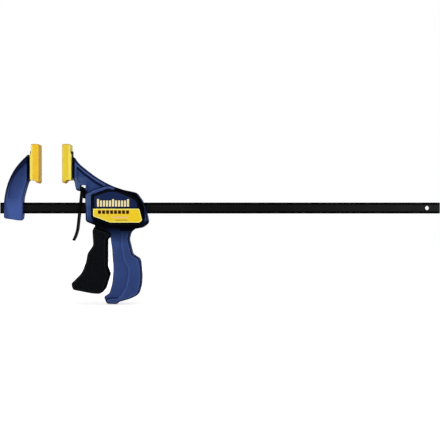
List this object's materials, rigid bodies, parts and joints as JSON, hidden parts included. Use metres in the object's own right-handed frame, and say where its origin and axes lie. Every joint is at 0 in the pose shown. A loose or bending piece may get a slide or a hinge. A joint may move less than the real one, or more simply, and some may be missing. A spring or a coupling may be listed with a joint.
{
  "type": "quick release bar clamp",
  "caption": "One-handed bar clamp: a squeeze trigger walks the moving jaw along a flat steel bar towards the fixed jaw, and a tail lever lets it slide back.",
  "frame": {"origin": "middle of the fixed pad's clamp face", "axes": "+X along the bar from the fixed jaw to the bar's free end, +Y across the clamp, +Z from the bar towards the jaw tips"},
  "size_m": [0.44, 0.027, 0.1593],
  "materials": {
    "black_steel": "black oxide, satin",
    "dark_steel": "hardened and oiled",
    "zinc_steel": "zinc plated",
    "spring_steel": "bright drawn wire",
    "blue_resin": "fine moulded texture",
    "black_resin": "moulded, satin",
    "yellow_pad": "soft moulded, satin",
    "label_plate": "printed plate, semi-gloss"
  },
  "bodies": {
    "bar_assembly": {"bar": "black_steel", "fixed_jaw": "blue_resin", "fixed_jaw_pin": "zinc_steel", "fixed_jaw_pad": "yellow_pad"},
    "moving_jaw": {"left_body_shell": "blue_resin", "right_body_shell": "blue_resin", "moving_jaw_pad": "yellow_pad", "body_screws": "zinc_steel", "left_label": "label_plate", "right_label": "label_plate", "trigger_pivot_pin": "zinc_steel", "drive_spring": "spring_steel", "spring_washer": "zinc_steel", "brake_spring": "spring_steel"},
    "trigger": {"trigger": "black_resin"},
    "drive_plates": {"drive_plate_front": "dark_steel", "drive_plate_rear": "dark_steel"},
    "brake_lever": {"brake_lever": "dark_steel"}
  },
  "joints": [
    {"name": "jaw_slide", "type": "slide", "parent": "bar_assembly", "child": "moving_jaw", "axis": [1, 0, 0], "range_m": [-0.0225, 0.2772]},
    {"name": "trigger_squeeze", "type": "hinge", "parent": "moving_jaw", "child": "trigger", "pos_m": [0.0626, 0, -0.03175], "axis": [0, -1, 0], "range_deg": [0, 12], "stiffness_Nm_per_rad": 0.8, "springref_deg": -17.19},
    {"name": "drive_slide", "type": "slide", "parent": "moving_jaw", "child": "drive_plates", "axis": [1, 0, 0], "range_m": [0, 0.005], "deforming": ["drive_spring"]},
    {"name": "brake_release", "type": "hinge", "parent": "moving_jaw", "child": "brake_lever", "pos_m": [0.042, 0, -0.02365], "axis": [0, -1, 0], "range_deg": [0, 6], "stiffness_Nm_per_rad": 0.15, "springref_deg": -20.05, "deforming": ["brake_spring"]}
  ],
  "couplings": [
    {"joint": "drive_slide", "follows": "trigger_squeeze", "m_per_rad": 0.0235}
  ]
}
